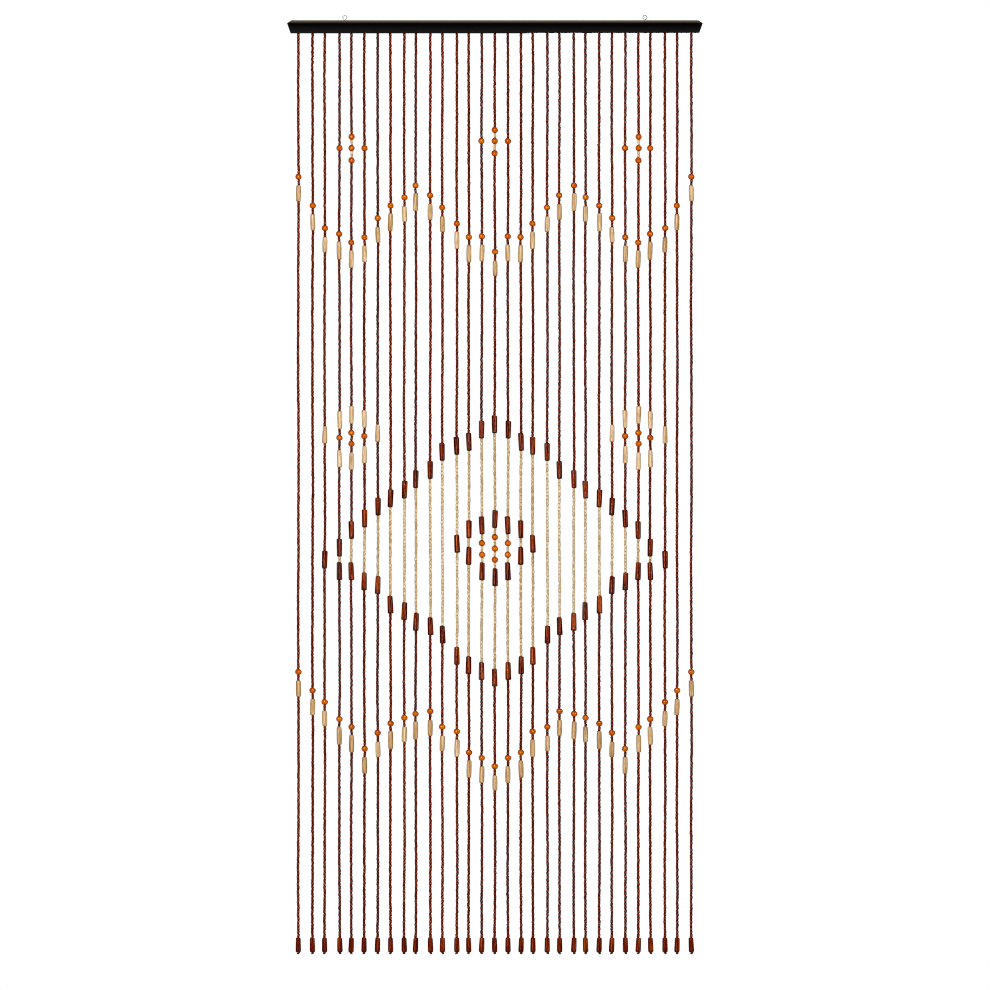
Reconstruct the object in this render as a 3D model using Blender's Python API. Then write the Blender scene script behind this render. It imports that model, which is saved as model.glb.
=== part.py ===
"""Bead curtain: thirty-one strings of wooden beads on a black rail with two screw eyes.

Metres, +Z up, the front facing -Y. The origin is midway between the centres of the two eyes,
in the plane of the strings. Sizes below are in millimetres until they are placed.
"""
import math
from collections import namedtuple

import bmesh
import bpy

MM = 0.001
CLEARANCE = 0.3
WELD_DISTANCE = 0.001
CUTTER_OVERSHOOT = 4.0

# Rail
RAIL_LENGTH = 900.0
RAIL_DEPTH = 22.0
RAIL_HEIGHT = 28.0
BEVEL_DROP = 6.3
BEVEL_REACH = 6.0
BEVEL_REACH_AT_ENDS = 9.8
END_TAPER = 7.6

# Screw eyes
EYE_SPREAD = 651.4
EYE_WIRE_RADIUS = 0.8
EYE_RING_RADIUS = 4.5
EYE_RISE = 6.3
EYE_SHANK_IN_RAIL = 12.0
EYE_NECK_ABOVE_RAIL = 0.2
EYE_RING_START = -65.0
EYE_RING_SWEEP = 318.0
EYE_RING_STEPS = 20
EYE_TIP_LENGTH = 2.4
EYE_TIP_SHARE = 0.4
EYE_HOLE_SIDES = 12

# Strip that the strings are fixed to, sunk in a groove under the rail
STRIP_LENGTH = 868.0
STRIP_DEPTH = 8.0
STRIP_HEIGHT = 4.0
ROOT_IN_STRIP = 2.0

# Strings, each a four-sided strand as wide as its small beads
STRAND_RADIUS = 2.75
KNOT_RADIUS = 1.9
KNOT_LENGTH = 5.0
STRING_LENGTH = 2000.0
TUBE_BELOW_BALL = 36.2

RAIL_TOP = -EYE_RISE
RAIL_UNDERSIDE = RAIL_TOP - RAIL_HEIGHT

# Large beads. The shoulder is the length over which an end swells to its full radius.
BeadForm = namedtuple("BeadForm", "length top_radius bottom_radius shoulder")
BEAD_FORMS = {
    "ball": BeadForm(12.9, 6.4, 6.4, 3.9),
    "pale_barrel": BeadForm(37.0, 5.1, 5.1, 2.4),
    "pale_wide_top": BeadForm(39.4, 5.5, 4.5, 2.4),
    "pale_wide_bottom": BeadForm(38.2, 4.5, 5.5, 2.4),
    "brown_wide_top": BeadForm(39.2, 5.5, 4.9, 1.8),
    "brown_wide_bottom": BeadForm(39.2, 4.9, 5.6, 1.8),
    "end_bead": BeadForm(32.0, 5.2, 5.5, 2.2),
}

# One row for each string from the outer edge to the middle; the other side mirrors it.
# across is the distance from the middle, garland_tube the length of its two pale tubes, and
# every other column the drop of a bead's middle below the rail.
StringRow = namedtuple(
    "StringRow", "across garland_tube upper_ball diamond_top diamond_bottom lower_ball")
STRINGS = (
    StringRow(426.6, 35.6, 311.4, None, None, 1386.6),
    StringRow(395.7, 35.8, 374.1, None, None, 1426.8),
    StringRow(369.4, 34.1, 423.0, 1142.9, None, 1451.9),
    StringRow(337.4, 39.6, 435.6, 1116.8, 1167.8, 1488.9),
    StringRow(311.6, 38.5, 454.2, 1078.4, 1168.0, 1506.2),
    StringRow(283.3, 36.4, 442.9, 1053.5, 1190.2, 1553.3),
    StringRow(254.2, 34.1, 401.3, 1027.6, 1198.2, 1518.8),
    StringRow(226.7, 39.7, 374.1, 1009.7, 1240.5, 1498.4),
    StringRow(196.6, 34.2, 356.1, 990.8, 1254.8, 1486.2),
    StringRow(171.6, 39.5, 330.3, 968.1, 1277.9, 1477.6),
    StringRow(140.2, 35.0, 351.7, 948.1, 1287.4, 1471.9),
    StringRow(114.0, 34.4, 378.2, 908.8, 1305.7, 1505.8),
    StringRow(82.3, 38.2, 413.2, 895.7, 1351.8, 1516.0),
    StringRow(56.6, 38.4, 442.3, 887.2, 1372.1, 1561.4),
    StringRow(28.4, 36.9, 440.8, 860.4, 1384.7, 1573.3),
    StringRow(0.0, 33.6, 474.2, 848.9, 1398.9, 1591.6),
)

# Beads of the small motifs: the string's place in the table above, counted from 1, the kind
# of bead, and its drop.
MotifBead = namedtuple("MotifBead", "string kind drop")
SIDE_CROSS = (
    MotifBead(4, "ball", 249.3),
    MotifBead(5, "ball", 224.7),
    MotifBead(5, "ball", 249.3),
    MotifBead(5, "ball", 276.0),
    MotifBead(6, "ball", 249.3),
)
MIDDLE_CROSS = (
    MotifBead(15, "ball", 233.8),
    MotifBead(16, "ball", 209.7),
    MotifBead(16, "ball", 233.8),
    MotifBead(16, "ball", 260.6),
)
FLOWER = (
    MotifBead(3, "pale_wide_bottom", 871.7),
    MotifBead(4, "pale_wide_top", 839.7),
    MotifBead(4, "ball", 878.1),
    MotifBead(4, "pale_wide_bottom", 923.6),
    MotifBead(5, "pale_wide_top", 828.6),
    MotifBead(5, "ball", 867.4),
    MotifBead(5, "ball", 891.3),
    MotifBead(5, "pale_wide_bottom", 928.8),
    MotifBead(6, "pale_wide_top", 837.6),
    MotifBead(6, "ball", 874.6),
    MotifBead(6, "pale_wide_bottom", 914.8),
    MotifBead(7, "pale_wide_bottom", 868.4),
)
HEART_OF_DIAMOND = (
    MotifBead(13, "brown_wide_bottom", 1108.4),
    MotifBead(14, "brown_wide_top", 1076.9),
    MotifBead(14, "brown_wide_bottom", 1134.7),
    MotifBead(15, "brown_wide_top", 1068.3),
    MotifBead(15, "ball", 1107.1),
    MotifBead(15, "ball", 1132.1),
    MotifBead(15, "brown_wide_bottom", 1168.2),
    MotifBead(16, "brown_wide_top", 1054.8),
    MotifBead(16, "ball", 1093.9),
    MotifBead(16, "ball", 1118.9),
    MotifBead(16, "ball", 1143.0),
    MotifBead(16, "brown_wide_bottom", 1181.1),
)
MOTIFS = SIDE_CROSS + MIDDLE_CROSS + FLOWER + HEART_OF_DIAMOND


def clear_scene():
    """Remove every object that the new file starts with."""
    for old in list(bpy.data.objects):
        bpy.data.objects.remove(old, do_unlink=True)


def new_collection(name):
    """Make a collection under the scene's own."""
    collection = bpy.data.collections.new(name)
    bpy.context.scene.collection.children.link(collection)
    return collection


def move_to(thing, collection):
    """Take an object out of its collections and put it in this one."""
    for old in list(thing.users_collection):
        old.objects.unlink(thing)
    collection.objects.link(thing)


def principled(name, colour, roughness, metallic=0.0):
    """Make a plain Principled material."""
    material = bpy.data.materials.new(name)
    material.use_nodes = True
    shader = material.node_tree.nodes["Principled BSDF"]
    shader.inputs["Base Color"].default_value = (*colour, 1.0)
    shader.inputs["Roughness"].default_value = roughness
    shader.inputs["Metallic"].default_value = metallic
    return material


def box(name, collection, size, centre, tilt=0.0):
    """Make a block from a cube, with its size applied, turned about X by tilt."""
    bpy.ops.mesh.primitive_cube_add(size=1.0)
    block = bpy.context.object
    block.name = name
    block.scale = [side * MM for side in size]
    bpy.ops.object.transform_apply(location=False, rotation=False, scale=True)
    block.location = [place * MM for place in centre]
    block.rotation_euler = (tilt, 0.0, 0.0)
    move_to(block, collection)
    return block


def mark_as_cutter(cutter):
    """Show a cutter as a wire and keep it out of the model."""
    cutter.hide_render = True
    cutter.display_type = "WIRE"
    return cutter


def cut(target, cutter):
    """Take the cutter's shape out of the target."""
    modifier = target.modifiers.new("cut_" + cutter.name, "BOOLEAN")
    modifier.operation = "DIFFERENCE"
    modifier.object = cutter


def curve_to_mesh(curve_object, collection):
    """Swap a curve for the mesh it draws, with its loose caps welded on."""
    graph = bpy.context.evaluated_depsgraph_get()
    mesh = bpy.data.meshes.new_from_object(curve_object.evaluated_get(graph))
    work = bmesh.new()
    work.from_mesh(mesh)
    bmesh.ops.remove_doubles(work, verts=work.verts, dist=WELD_DISTANCE * MM)
    bmesh.ops.recalc_face_normals(work, faces=work.faces)
    work.to_mesh(mesh)
    work.free()
    name = curve_object.name
    place = curve_object.matrix_world.copy()
    bpy.data.objects.remove(curve_object, do_unlink=True)
    solid = bpy.data.objects.new(name, mesh)
    solid.matrix_world = place
    collection.objects.link(solid)
    return solid


def new_curve(name, dimensions):
    """Start an empty curve object in the scene."""
    data = bpy.data.curves.new(name, "CURVE")
    data.dimensions = dimensions
    thing = bpy.data.objects.new(name, data)
    bpy.context.scene.collection.objects.link(thing)
    return thing


def add_polyline(curve_object, points, shares, closed=False):
    """Add straight runs through points in millimetres; a share scales the bevel depth there."""
    spline = curve_object.data.splines.new("POLY")
    spline.points.add(len(points) - 1)
    for knot, point, share in zip(spline.points, points, shares):
        knot.co = (point[0] * MM, point[1] * MM, point[2] * MM, 1.0)
        knot.radius = share
    spline.use_cyclic_u = closed


def rail_outline():
    """Corners of the rail seen from the front, from the lower left, in its own flat plane."""
    widest = RAIL_LENGTH / 2
    lower = widest - END_TAPER
    upper = widest - BEVEL_REACH_AT_ENDS
    bevel_foot = RAIL_TOP - BEVEL_DROP
    right_side = [(lower, RAIL_UNDERSIDE), (widest, bevel_foot), (upper, RAIL_TOP)]
    left_side = [(-across, height) for across, height in reversed(right_side)]
    return [(across, height, 0.0) for across, height in right_side + left_side]


def bevel_cutter(name, collection, side):
    """Make the block that slopes the rail's top edge, at the front (-1) or the back (+1)."""
    slope = math.atan2(BEVEL_DROP, BEVEL_REACH)
    thickness = 2 * BEVEL_DROP
    middle_y = side * (RAIL_DEPTH - BEVEL_REACH) / 2
    middle_z = RAIL_TOP - BEVEL_DROP / 2
    out_y = side * math.sin(slope) * thickness / 2
    out_z = math.cos(slope) * thickness / 2
    size = (RAIL_LENGTH + 2 * thickness, 2 * thickness, thickness)
    centre = (0.0, middle_y + out_y, middle_z + out_z)
    return mark_as_cutter(box(name, collection, size, centre, tilt=-side * slope))


def groove_cutter(collection):
    """Make the block that cuts the strip's groove, open at the rail's underside."""
    roof = RAIL_UNDERSIDE + STRIP_HEIGHT + 2 * CLEARANCE
    floor = RAIL_UNDERSIDE - CUTTER_OVERSHOOT
    size = (STRIP_LENGTH + 2 * CLEARANCE, STRIP_DEPTH + 2 * CLEARANCE, roof - floor)
    return mark_as_cutter(box("groove_cutter", collection, size, (0.0, 0.0, (roof + floor) / 2)))


def shank_hole_cutter(name, collection, across):
    """Make the round bar that drills the hole for one screw eye."""
    bottom = RAIL_TOP - EYE_SHANK_IN_RAIL - CLEARANCE
    top = RAIL_TOP + CUTTER_OVERSHOOT
    corner_radius = (EYE_WIRE_RADIUS + CLEARANCE) / math.cos(math.pi / EYE_HOLE_SIDES)
    bpy.ops.mesh.primitive_cylinder_add(
        vertices=EYE_HOLE_SIDES,
        radius=corner_radius * MM,
        depth=(top - bottom) * MM)
    drill = bpy.context.object
    drill.name = name
    drill.location = (across * MM, 0.0, (top + bottom) / 2 * MM)
    move_to(drill, collection)
    return mark_as_cutter(drill)


def make_rail(parts, cutters):
    """Extrude the rail's front outline, then slope its top edges, groove it and drill it."""
    flat = new_curve("rail", "2D")
    flat.data.fill_mode = "BOTH"
    flat.data.extrude = RAIL_DEPTH / 2 * MM
    outline = rail_outline()
    add_polyline(flat, outline, [1.0] * len(outline), closed=True)
    flat.rotation_euler = (math.radians(90.0), 0.0, 0.0)
    bpy.context.view_layer.update()
    rail = curve_to_mesh(flat, parts)
    cut(rail, bevel_cutter("front_bevel_cutter", cutters, -1))
    cut(rail, bevel_cutter("back_bevel_cutter", cutters, 1))
    cut(rail, groove_cutter(cutters))
    cut(rail, shank_hole_cutter("left_hole_cutter", cutters, -EYE_SPREAD / 2))
    cut(rail, shank_hole_cutter("right_hole_cutter", cutters, EYE_SPREAD / 2))
    rail.data.materials.append(principled("black_lacquer", (0.006, 0.005, 0.005), 0.3))


def make_screw_eye(name, parts, across, material):
    """Bend one wire: up out of the rail, then round in a ring that nearly closes."""
    points = [
        (across, 0.0, RAIL_TOP - EYE_SHANK_IN_RAIL),
        (across, 0.0, RAIL_TOP - EYE_SHANK_IN_RAIL + EYE_TIP_LENGTH),
        (across, 0.0, RAIL_TOP + EYE_NECK_ABOVE_RAIL),
        (across + EYE_WIRE_RADIUS / 2, 0.0, -EYE_RING_RADIUS - EYE_WIRE_RADIUS),
    ]
    shares = [EYE_TIP_SHARE, 1.0, 1.0, 1.0]
    for step in range(EYE_RING_STEPS + 1):
        angle = math.radians(EYE_RING_START + EYE_RING_SWEEP * step / EYE_RING_STEPS)
        reach = EYE_RING_RADIUS * math.cos(angle)
        height = EYE_RING_RADIUS * math.sin(angle)
        points.append((across + reach, 0.0, height))
        shares.append(1.0)
    wire = new_curve(name, "3D")
    wire.data.bevel_depth = EYE_WIRE_RADIUS * MM
    wire.data.bevel_resolution = 1
    wire.data.use_fill_caps = True
    add_polyline(wire, points, shares)
    eye = curve_to_mesh(wire, parts)
    eye.data.materials.append(material)
    eye.data.shade_smooth()


def beads_on_string(number, row):
    """List the large beads of one string as (kind, drop, length), from the top down."""
    beads = []
    for ball_drop in (row.upper_ball, row.lower_ball):
        beads.append(("ball", ball_drop, BEAD_FORMS["ball"].length))
        beads.append(("pale_barrel", ball_drop + TUBE_BELOW_BALL, row.garland_tube))
    for kind, drop in (("brown_wide_top", row.diamond_top),
                       ("brown_wide_bottom", row.diamond_bottom)):
        if drop is not None:
            beads.append((kind, drop, BEAD_FORMS[kind].length))
    for bead in MOTIFS:
        if bead.string == number:
            beads.append((bead.kind, bead.drop, BEAD_FORMS[bead.kind].length))
    end_length = BEAD_FORMS["end_bead"].length
    beads.append(("end_bead", STRING_LENGTH - KNOT_LENGTH - end_length / 2, end_length))
    return sorted(beads, key=lambda bead: bead[1])


def strand_sections(beads):
    """Turn a string's beads into (drop, radius) sections of one strand."""
    sections = [(-CLEARANCE - ROOT_IN_STRIP, STRAND_RADIUS)]
    for kind, drop, length in beads:
        form = BEAD_FORMS[kind]
        top = drop - length / 2
        bottom = drop + length / 2
        sections.append((top, STRAND_RADIUS))
        sections.append((top + form.shoulder, form.top_radius))
        sections.append((bottom - form.shoulder, form.bottom_radius))
        sections.append((bottom, KNOT_RADIUS if kind == "end_bead" else STRAND_RADIUS))
    sections.append((STRING_LENGTH, KNOT_RADIUS))
    return sections


def string_places():
    """Yield each string's distance across, its number in the table and its row."""
    for number, row in enumerate(STRINGS, start=1):
        sides = (-1, 1) if row.across > 0 else (1,)
        for side in sides:
            yield side * row.across, number, row


def make_strands(cutters):
    """Draw every strand as a four-sided tube whose radius follows its beads."""
    strands = new_curve("strands", "3D")
    strands.data.bevel_depth = STRAND_RADIUS * MM
    strands.data.bevel_resolution = 0
    strands.data.use_fill_caps = True
    for across, number, row in string_places():
        sections = strand_sections(beads_on_string(number, row))
        points = [(across, 0.0, RAIL_UNDERSIDE - drop) for drop, radius in sections]
        add_polyline(strands, points, [radius / STRAND_RADIUS for drop, radius in sections])
    return mark_as_cutter(curve_to_mesh(strands, cutters))


def make_strings(parts, cutters):
    """Fuse the roots of all the strands into the strip that lies in the rail's groove."""
    size = (STRIP_LENGTH, STRIP_DEPTH, STRIP_HEIGHT)
    middle = RAIL_UNDERSIDE + CLEARANCE + STRIP_HEIGHT / 2
    strings = box("strings", parts, size, (0.0, 0.0, middle))
    join = strings.modifiers.new("join_strands", "BOOLEAN")
    join.operation = "UNION"
    join.object = make_strands(cutters)
    strings.data.materials.append(principled("stained_wood", (0.13, 0.025, 0.01), 0.35))


def main():
    """Build the curtain."""
    clear_scene()
    parts = new_collection("bead_curtain")
    cutters = new_collection("cutters")
    make_rail(parts, cutters)
    zinc = principled("zinc_wire", (0.55, 0.55, 0.57), 0.3, metallic=1.0)
    make_screw_eye("screw_eye_left", parts, -EYE_SPREAD / 2, zinc)
    make_screw_eye("screw_eye_right", parts, EYE_SPREAD / 2, zinc)
    make_strings(parts, cutters)


main()
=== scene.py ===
# %% [markdown]
# # A bead curtain
#
# This lesson dresses a door curtain of thirty-one bead strings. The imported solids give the
# rail, the two wire eyes and one plain strand for each string. The beads themselves, which are
# too many for the solids, are made here as arrays of turned shapes.

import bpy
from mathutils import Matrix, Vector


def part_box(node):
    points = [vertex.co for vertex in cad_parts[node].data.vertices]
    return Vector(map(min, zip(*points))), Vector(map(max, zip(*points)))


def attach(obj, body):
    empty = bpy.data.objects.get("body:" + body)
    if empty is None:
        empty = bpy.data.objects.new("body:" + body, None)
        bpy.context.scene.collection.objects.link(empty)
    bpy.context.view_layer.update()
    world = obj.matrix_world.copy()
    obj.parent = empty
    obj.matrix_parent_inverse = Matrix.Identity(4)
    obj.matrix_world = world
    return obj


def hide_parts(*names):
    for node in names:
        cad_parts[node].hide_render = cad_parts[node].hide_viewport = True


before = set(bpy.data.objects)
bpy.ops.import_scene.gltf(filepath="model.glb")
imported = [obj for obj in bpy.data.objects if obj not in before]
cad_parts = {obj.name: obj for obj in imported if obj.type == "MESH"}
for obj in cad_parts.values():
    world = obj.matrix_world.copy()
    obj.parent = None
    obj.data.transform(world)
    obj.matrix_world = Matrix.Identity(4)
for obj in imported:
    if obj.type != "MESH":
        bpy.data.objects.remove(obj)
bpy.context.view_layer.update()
print("nodes:", sorted(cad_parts))

# %% Modules and units
from collections import namedtuple

import bpy
import numpy as np
from mathutils import Vector

# Every size below is in millimetres until it goes into a mesh.
MM = 0.001
DICE = np.random.default_rng(31)

# %% [markdown]
# ## Where the rail is
#
# The strings hang from the underside of the rail, so every height is counted down from it.
# The rail's own box says where that is, which is safer than copying a number.

# %% Read the rail's place
rail_low, rail_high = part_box("rail")
RAIL_UNDERSIDE = rail_low.z / MM
RAIL_TOP = rail_high.z / MM
RAIL_HALF_LENGTH = rail_high.x / MM
RAIL_HALF_DEPTH = rail_high.y / MM
print("rail underside at", round(RAIL_UNDERSIDE, 2), "mm, top at", round(RAIL_TOP, 2), "mm")

# %% [markdown]
# ## The stringing plan
#
# A maker works from a chart that says, for each string, how far down each large bead sits.
# The left half of the pattern mirrors the right half, so one row serves two strings. These are
# the same rows that the solids were made from, which keeps every bead on its strand.

# %% Forms of the large beads
# A sharpened photo darkens the edges of small dark things, so beads that are 5.5 to 13 mm thick
# look about a tenth thicker in it. They are drawn that much thicker here than the strands of
# the solids.
BeadForm = namedtuple("BeadForm", "length top_radius bottom_radius")
BEAD_FORMS = {
    "ball": BeadForm(13.6, 7.1, 7.1),
    "pale_barrel": BeadForm(37.0, 5.6, 5.6),
    "pale_wide_top": BeadForm(39.4, 5.7, 4.7),
    "pale_wide_bottom": BeadForm(38.2, 4.7, 5.7),
    "brown_wide_top": BeadForm(39.2, 6.3, 5.6),
    "brown_wide_bottom": BeadForm(39.2, 5.6, 6.4),
    "end_bead": BeadForm(33.0, 5.3, 6.1),
}
STRING_LENGTH = 2000.0
KNOT_LENGTH = 4.1
TUBE_BELOW_BALL = 36.2

# %% Rows of the chart, from the outer edge to the middle
# across is the distance from the middle, garland_tube the length of its two pale tubes, and
# every other column the drop of a bead's middle below the rail.
StringRow = namedtuple(
    "StringRow", "across garland_tube upper_ball diamond_top diamond_bottom lower_ball")
STRING_ROWS = (
    StringRow(426.6, 35.6, 311.4, None, None, 1386.6),
    StringRow(395.7, 35.8, 374.1, None, None, 1426.8),
    StringRow(369.4, 34.1, 423.0, 1142.9, None, 1451.9),
    StringRow(337.4, 39.6, 435.6, 1116.8, 1167.8, 1488.9),
    StringRow(311.6, 38.5, 454.2, 1078.4, 1168.0, 1506.2),
    StringRow(283.3, 36.4, 442.9, 1053.5, 1190.2, 1553.3),
    StringRow(254.2, 34.1, 401.3, 1027.6, 1198.2, 1518.8),
    StringRow(226.7, 39.7, 374.1, 1009.7, 1240.5, 1498.4),
    StringRow(196.6, 34.2, 356.1, 990.8, 1254.8, 1486.2),
    StringRow(171.6, 39.5, 330.3, 968.1, 1277.9, 1477.6),
    StringRow(140.2, 35.0, 351.7, 948.1, 1287.4, 1471.9),
    StringRow(114.0, 34.4, 378.2, 908.8, 1305.7, 1505.8),
    StringRow(82.3, 38.2, 413.2, 895.7, 1351.8, 1516.0),
    StringRow(56.6, 38.4, 442.3, 887.2, 1372.1, 1561.4),
    StringRow(28.4, 36.9, 440.8, 860.4, 1384.7, 1573.3),
    StringRow(0.0, 33.6, 474.2, 848.9, 1398.9, 1591.6),
)

# %% Beads of the small motifs
# The row that a bead belongs to, counted from 1 at the outer edge, its kind and its drop.
MotifBead = namedtuple("MotifBead", "row kind drop")
SIDE_CROSS = (
    MotifBead(4, "ball", 249.3),
    MotifBead(5, "ball", 224.7),
    MotifBead(5, "ball", 249.3),
    MotifBead(5, "ball", 276.0),
    MotifBead(6, "ball", 249.3),
)
MIDDLE_CROSS = (
    MotifBead(15, "ball", 233.8),
    MotifBead(16, "ball", 209.7),
    MotifBead(16, "ball", 233.8),
    MotifBead(16, "ball", 260.6),
)
FLOWER = (
    MotifBead(3, "pale_wide_bottom", 871.7),
    MotifBead(4, "pale_wide_top", 839.7),
    MotifBead(4, "ball", 878.1),
    MotifBead(4, "pale_wide_bottom", 923.6),
    MotifBead(5, "pale_wide_top", 828.6),
    MotifBead(5, "ball", 867.4),
    MotifBead(5, "ball", 891.3),
    MotifBead(5, "pale_wide_bottom", 928.8),
    MotifBead(6, "pale_wide_top", 837.6),
    MotifBead(6, "ball", 874.6),
    MotifBead(6, "pale_wide_bottom", 914.8),
    MotifBead(7, "pale_wide_bottom", 868.4),
)
HEART_OF_DIAMOND = (
    MotifBead(13, "brown_wide_bottom", 1108.4),
    MotifBead(14, "brown_wide_top", 1076.9),
    MotifBead(14, "brown_wide_bottom", 1134.7),
    MotifBead(15, "brown_wide_top", 1068.3),
    MotifBead(15, "ball", 1107.1),
    MotifBead(15, "ball", 1132.1),
    MotifBead(15, "brown_wide_bottom", 1168.2),
    MotifBead(16, "brown_wide_top", 1054.8),
    MotifBead(16, "ball", 1093.9),
    MotifBead(16, "ball", 1118.9),
    MotifBead(16, "ball", 1143.0),
    MotifBead(16, "brown_wide_bottom", 1181.1),
)
MOTIFS = SIDE_CROSS + MIDDLE_CROSS + FLOWER + HEART_OF_DIAMOND

# Small cream beads fill each of these stretches: the row, and the drops between which they lie.
CROSS_CREAM = ((5, 224.7, 276.0), (16, 209.7, 260.6))


# %% List the large beads of one row
def large_beads(number, row):
    """Large beads of a row as (kind, drop, length), from the top down."""
    beads = []
    for ball_drop in (row.upper_ball, row.lower_ball):
        beads.append(("ball", ball_drop, BEAD_FORMS["ball"].length))
        beads.append(("pale_barrel", ball_drop + TUBE_BELOW_BALL, row.garland_tube))
    for kind, drop in (("brown_wide_top", row.diamond_top),
                       ("brown_wide_bottom", row.diamond_bottom)):
        if drop is not None:
            beads.append((kind, drop, BEAD_FORMS[kind].length))
    for bead in MOTIFS:
        if bead.row == number:
            beads.append((bead.kind, bead.drop, BEAD_FORMS[bead.kind].length))
    end_length = BEAD_FORMS["end_bead"].length
    beads.append(("end_bead", STRING_LENGTH - KNOT_LENGTH - end_length / 2, end_length))
    return sorted(beads, key=lambda bead: bead[1])


# %% [markdown]
# ## Small beads between the large ones
#
# Between two large beads the maker threads as many small beads as fit. So each stretch is
# divided by the bead's length, the count is rounded, and the beads share the stretch evenly.
# Inside the diamond, and between the three balls of a cross, the small beads are cream.

# %% Fill a stretch with small beads
BROWN_PITCH = 7.5
CREAM_PITCH = 7.6


def fill_stretch(top, bottom, pitch):
    """Middles and lengths of the beads that fill a stretch: its length over the pitch, rounded."""
    count = max(1, round((bottom - top) / pitch))
    edges = np.linspace(top, bottom, count + 1)
    return (edges[:-1] + edges[1:]) / 2, np.diff(edges)


def cream_stretches(number, row):
    """Drops between which a row has cream beads."""
    spans = [(top, bottom) for owner, top, bottom in CROSS_CREAM if owner == number]
    if row.diamond_top is not None and row.diamond_bottom is not None:
        spans.append((row.diamond_top, row.diamond_bottom))
    return spans


# %% Lay out every bead of the curtain
# Each bead is one line: its string counted from the left, its drop, its length and two radii.
SMALL_RADIUS = {"brown": 3.1, "cream": 3.05}
strings_across = []
plan = {kind: [] for kind in ("brown", "cream", *BEAD_FORMS)}
for number, row in enumerate(STRING_ROWS, start=1):
    for side in ((-1, 1) if row.across > 0 else (1,)):
        strings_across.append((side * row.across, number, row))
strings_across.sort(key=lambda place: place[0])
ACROSS = np.array([place[0] for place in strings_across])
for string, (across, number, row) in enumerate(strings_across):
    top = 0.0
    for kind, drop, length in large_beads(number, row):
        form = BEAD_FORMS[kind]
        plan[kind].append((string, drop, length, form.top_radius, form.bottom_radius))
        bottom = drop - length / 2
        middle = (top + bottom) / 2
        cream = any(a < middle < b for a, b in cream_stretches(number, row))
        colour, pitch = ("cream", CREAM_PITCH) if cream else ("brown", BROWN_PITCH)
        middles, lengths = fill_stretch(top, bottom, pitch)
        radius = SMALL_RADIUS[colour]
        plan[colour] += [(string, m, n, radius, radius) for m, n in zip(middles, lengths)]
        top = drop + length / 2
plan = {kind: np.array(lines) for kind, lines in plan.items()}
print("strings:", len(ACROSS), "beads:", {kind: len(lines) for kind, lines in plan.items()})

# %% [markdown]
# ## How a string hangs
#
# A string of loose beads is never quite straight. Each one leans a fraction of a millimetre to
# one side and back, as slow waves that start from nothing at the rail. Each string is threaded
# from a batch of small beads of its own, a little lighter or darker than the next.

# %% Slow lean of each string
LEAN = 0.45
WAVE_LENGTHS = np.array([610.0, 270.0])
WAVE_SHARES = np.array([1.0, 0.5])
SETTLE_LENGTH = 80.0
BATCH_TONE = DICE.uniform(-1, 1, len(ACROSS))
PHASES = DICE.uniform(0.0, 2 * np.pi, (len(ACROSS), 2, 2))
print("a string leans by up to", round(LEAN * WAVE_SHARES.sum(), 2), "mm")


def lean(string, drop):
    """Sideways and front-to-back lean: two sine waves that grow over the settle length."""
    turn = 2 * np.pi * drop[:, None, None] / WAVE_LENGTHS[None, :, None] + PHASES[string]
    strength = LEAN * WAVE_SHARES[None, :, None]
    settled = np.clip(drop / SETTLE_LENGTH, 0.0, 1.0)[:, None]
    return (strength * np.sin(turn)).sum(axis=1) * settled


def on_string(string, drop):
    """Point of a string at a drop: straight down from the rail, plus its lean."""
    shift = lean(string, drop)
    return np.stack([ACROSS[string] + shift[:, 0], shift[:, 1], RAIL_UNDERSIDE - drop], axis=1)


# %% [markdown]
# ## Turning arrays into a mesh
#
# Thousands of beads would be slow as separate objects, so each colour is one mesh, filled in
# one go from arrays. Three values go with every point for the materials to read: tone, which
# differs from bead to bead, grain, the point's place in its own bead in millimetres, and end,
# which runs from 0 at a bead's middle to 1 at its holes. Every bead also has its own square in
# the UV map.

# %% Fill a mesh from arrays
BAKE_MAP = "OFBake"


def new_piece(name, points, faces, corner_uv, material, values=None, flat=()):
    """Mesh object from points in millimetres, a list of face arrays and a UV for each corner."""
    mesh = bpy.data.meshes.new(name)
    corners = np.concatenate([part.ravel() for part in faces]).astype(np.int32)
    sizes = np.concatenate([np.full(len(part), part.shape[1]) for part in faces])
    mesh.vertices.add(len(points))
    mesh.vertices.foreach_set("co", (points * MM).astype(np.float32).ravel())
    mesh.loops.add(len(corners))
    mesh.loops.foreach_set("vertex_index", corners)
    mesh.polygons.add(len(sizes))
    mesh.polygons.foreach_set("loop_start", (np.cumsum(sizes) - sizes).astype(np.int32))
    mesh.update(calc_edges=True)
    smooth = np.ones(len(sizes), dtype=bool)
    smooth[list(flat)] = False
    mesh.polygons.foreach_set("use_smooth", smooth)
    layer = mesh.uv_layers.new(name=BAKE_MAP)
    layer.data.foreach_set("uv", np.concatenate(corner_uv).astype(np.float32).ravel())
    for key, array in (values or {}).items():
        kind = "FLOAT_VECTOR" if array.ndim == 2 else "FLOAT"
        field = "vector" if array.ndim == 2 else "value"
        store = mesh.attributes.new(key, kind, "POINT")
        store.data.foreach_set(field, array.astype(np.float32).ravel())
    mesh.validate()
    mesh.materials.append(material)
    piece = bpy.data.objects.new(name, mesh)
    bpy.context.scene.collection.objects.link(piece)
    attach(piece, "root")
    triangles = int((sizes - 2).sum())
    print(name, "triangles:", triangles)
    return piece


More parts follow.
